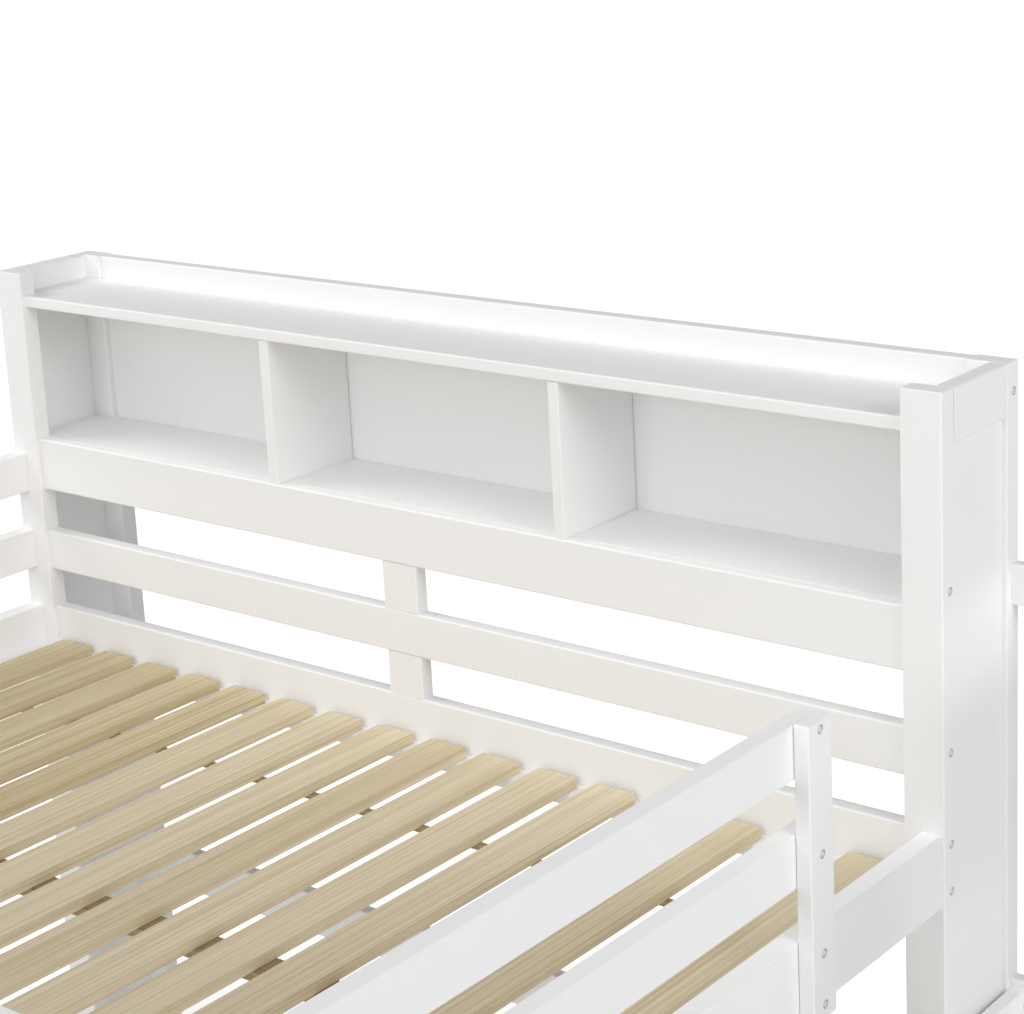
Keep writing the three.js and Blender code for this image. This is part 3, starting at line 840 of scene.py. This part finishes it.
# %% [markdown]
# ## Screws under the deck and on the stair
#
# The ledges that carry the slats are screwed to the bed rails. The wide batten under the middle
# of the deck has one screw up into each slat, and it keeps the slats from sliding together. The
# treads sit in housings, and two screws through each side board pull them in. On the outer faces
# of the sides those screws have domed white caps.

# %% Drive the screws
LEDGE_HEIGHT = 0.022
LEDGE_SCREWS = 8
TREAD_SCREWS = (0.25, 0.75)
WOOD_SCREW = {
    "Radius": 0.004, "Thickness": 0.0025, "Crown": 0.0003, "Seat": -0.0021, "Recess": 0.0016,
    "Cross": 1.0,
}
TREAD_CAP = {"Radius": 0.006, "Thickness": 0.0026, "Crown": 0.0014, "Seat": 0.0}
treads = ("stair_tread_1", "stair_tread_2", "stair_landing")


def ledge_screws(rail, out):
    """A row of screws along the face of a rail's ledge."""
    low, high = boxes[rail]
    face = low.y if out < 0 else high.y
    height = boxes[slats[0]][0].z - LEDGE_HEIGHT / 2
    span = high.x - low.x
    return [
        (Vector((low.x + span * (i + 0.5) / LEDGE_SCREWS, face, height)), Vector((0, out, 0)))
        for i in range(LEDGE_SCREWS)
    ]


def tread_screws(side, out):
    """Two screws in a side board for each tread and for the landing."""
    low, high = boxes[side]
    face = low.x if out < 0 else high.x
    found = []
    for tread in treads:
        tread_low, tread_high = boxes[tread]
        for share in TREAD_SCREWS:
            y = tread_low.y + (tread_high.y - tread_low.y) * share
            found.append((Vector((face, y, middle_of(tread).z)), Vector((out, 0, 0))))
    return found


beam_middle = middle_of("centre_beam")
beam_foot = boxes["centre_beam"][0].z
down = Vector((0, 0, -1))
beam_screws = [(Vector((middle_of(slat).x, beam_middle.y, beam_foot)), down) for slat in slats]
rail_screws = ledge_screws("back_bed_rail", -1) + ledge_screws("front_bed_rail", 1)
fit_heads("wood_screws", rail_screws + beam_screws, WOOD_SCREW, 11, steel)
cap_places = tread_screws("stair_inner_side", -1) + tread_screws("stair_outer_side", 1)
fit_heads("tread_caps", cap_places, TREAD_CAP, 13, plastic)

# %% [markdown]
# ## Staples in the slat ties
#
# Two slim strips run under all the slats, and a staple through the strip holds each slat. A
# staple is one bent wire, so its tree draws a bent line, sweeps a round section along it and puts
# a copy at each slat.

# %% Fire the staples
STAPLE = {"Crown width": 0.010, "Leg": 0.0014, "Wire": 0.0006}
STAPLE_BOW = 1.15
STAPLE_BENDS = 10
WIRE_SIDES = 6


def staples_tree():
    """Bent wires that stand on a strip and lie the way that their points say."""
    tree, bench, given = new_tree("staples", ("Crown width", "Leg", "Wire"))
    half = given["Crown width"] / 2
    bow = half * STAPLE_BOW
    foot = 0 - given["Leg"]
    bend = bench.node("GeometryNodeCurvePrimitiveBezierSegment", {"mode": "POSITION"}, {
        "Resolution": STAPLE_BENDS,
        "Start": bench.vector(x=0 - half, z=foot),
        "Start Handle": bench.vector(x=0 - bow, z=given["Leg"]),
        "End Handle": bench.vector(x=bow, z=given["Leg"]),
        "End": bench.vector(x=half, z=foot),
    })["Curve"]
    section = bench.node("GeometryNodeCurvePrimitiveCircle", {"mode": "RADIUS"}, {
        "Resolution": WIRE_SIDES, "Radius": given["Wire"],
    })["Curve"]
    facing = bench.node("FunctionNodeAlignRotationToVector", {"axis": "Z"}, {
        "Vector": attribute(bench, "facing"),
    })["Rotation"]
    turned = bench.node("FunctionNodeAlignRotationToVector", {"axis": "X", "pivot_axis": "Z"}, {
        "Rotation": facing, "Vector": attribute(bench, "along"),
    })["Rotation"]
    wire = swept(bench, bend, section)
    close_tree(bench, given, copied(bench, given["Points"], wire, turned))
    return tree


along_bed = Vector((1, 0, 0))
staple_places = [
    (Vector((middle_of(slat).x, middle_of(tie).y, boxes[tie][0].z)), down, along_bed)
    for tie in ("back_slat_tie", "front_slat_tie")
    for slat in slats
]
grow("tie_staples", staples_tree(), staple_places, {**STAPLE, "Finish": steel})

# %% [markdown]
# ## Floor and light
#
# The picture is a studio shot on pure white. A studio lights such a backdrop by itself and screens
# the object from it, or the white would wash round every edge. Here the floor and the world do the
# same: what the camera sees of them is white, and what they throw on the bed is a good deal less.
# Close to the bed the floor's glow is dimmer: what the camera sees there is a painted shadow round
# the bed, added to the bed's own soft shadow, and what the floor throws on the bed is less too.

# %% Lay the floor
FLOOR_SIZE = 60.0
FLOOR_COLOUR = rgb(0.36, 0.36, 0.36)
# Painted shadow: near the bed the camera sees a dimmer floor, a shadow painted round the bed.
SHOWN_PAINTED_SHADOW = rgb(0.60, 0.60, 0.60)
SHOWN_FAR = rgb(0.97, 0.97, 0.97)
THROWN_NEAR = rgb(0.35, 0.35, 0.35)
THROWN_FAR = rgb(0.50, 0.50, 0.50)
GLOW_REACH = 1.3

floor_mesh = bpy.data.meshes.new("floor")
half = FLOOR_SIZE / 2
corners = [(-half, -half, 0), (half, -half, 0), (half, half, 0), (-half, half, 0)]
floor_mesh.from_pydata(corners, [], [(0, 1, 2, 3)])
floor = bpy.data.objects.new("floor", floor_mesh)
bpy.context.scene.collection.objects.link(floor)


def beyond(bench, value, reach):
    """How far a number lies beyond plus or minus the reach, or 0 within it."""
    return bench.math("MAXIMUM", bench.math("ABSOLUTE", value) - reach, 0.0)


def seen(bench):
    """1 for what the camera sees, and 0 for light that falls on something."""
    return bench.node("ShaderNodeLightPath")["Is Camera Ray"]


floor_material, floor_bench, place = start_material("pale_floor")
spot = floor_bench.parts(place)
past_x = beyond(floor_bench, spot["X"], cad_high.x)
past_y = beyond(floor_bench, spot["Y"], cad_high.y)
share = eased(floor_bench, (past_x * past_x + past_y * past_y) ** 0.5, 0.0, GLOW_REACH)
thrown = floor_bench.blend(share, THROWN_NEAR, THROWN_FAR)
# Painted shadow: the floor that the camera sees fades to this dimmer glow close to the bed.
shown = floor_bench.blend(share, SHOWN_PAINTED_SHADOW, SHOWN_FAR)
finish_material(floor_bench, {
    "Base Color": FLOOR_COLOUR,
    "Roughness": 0.9,
    "Specular IOR Level": 0.0,
    "Emission Color": floor_bench.blend(seen(floor_bench), thrown, shown),
    "Emission Strength": 1.0,
})
floor_mesh.materials.append(floor_material)
print("floor:", FLOOR_SIZE, "m")

# %% [markdown]
# ## Sky and soft boxes
#
# A wide soft dome in front of the bed gives an even light, and three soft boxes shape it. The one
# on the left reaches into the bookcase, the one in front lights the faces of the boards, and the
# one on the right opens up the end of the bed that faces the camera.

# %% Light the bed
BACKDROP = rgb(1.0, 1.0, 1.0)
DOME_DIM = rgb(0.06, 0.06, 0.06)
DOME_BRIGHT = rgb(0.84, 0.84, 0.84)
DOME_TURN = 0.5
DOME_FOOT = (0.05, 0.25)
BOX_SIZE = 2.5
BOX_DISTANCE = 6.0
BOX_TARGET = Vector((0.0, 0.0, 1.5))
# Each soft box has its angle round the bed in degrees, from the front towards the right, its angle
# above the ground and its watts.
SOFT_BOXES = {"left": (-80, 40, 99), "front": (0, 15, 70), "right": (85, 25, 110)}

world = bpy.data.worlds.new("studio")
bpy.context.scene.world = world
world.use_nodes = True
sky = Bench(world.node_tree)
way = sky.parts(sky.node("ShaderNodeTexCoord")["Generated"])
in_front = eased(sky, 0 - way["Y"], -DOME_TURN, DOME_TURN)
dome = sky.blend(in_front * eased(sky, way["Z"], *DOME_FOOT), DOME_DIM, DOME_BRIGHT)
glow = sky.blend(seen(sky), dome, BACKDROP)
backdrop = sky.node("ShaderNodeBackground", None, {"Color": glow, "Strength": 1.0})["Background"]
sky.node("ShaderNodeOutputWorld", None, {"Surface": backdrop})

for side, (azimuth, elevation, power) in SOFT_BOXES.items():
    around, rising = math.radians(azimuth), math.radians(elevation)
    away = Vector((
        math.sin(around) * math.cos(rising),
        -math.cos(around) * math.cos(rising),
        math.sin(rising),
    ))
    lamp = bpy.data.lights.new(side + "_soft_box", "AREA")
    box = bpy.data.objects.new(side + "_soft_box", lamp)
    bpy.context.scene.collection.objects.link(box)
    box.data.energy = power
    box.data.size = BOX_SIZE
    box.location = BOX_TARGET + away * BOX_DISTANCE
    box.rotation_euler = (-away).to_track_quat("-Z", "Y").to_euler()
    print(side, "soft box:", power, "W at", [round(v, 2) for v in box.location])

bpy.context.scene.view_settings.view_transform = "Standard"

# %% Update the scene
bpy.context.view_layer.update()
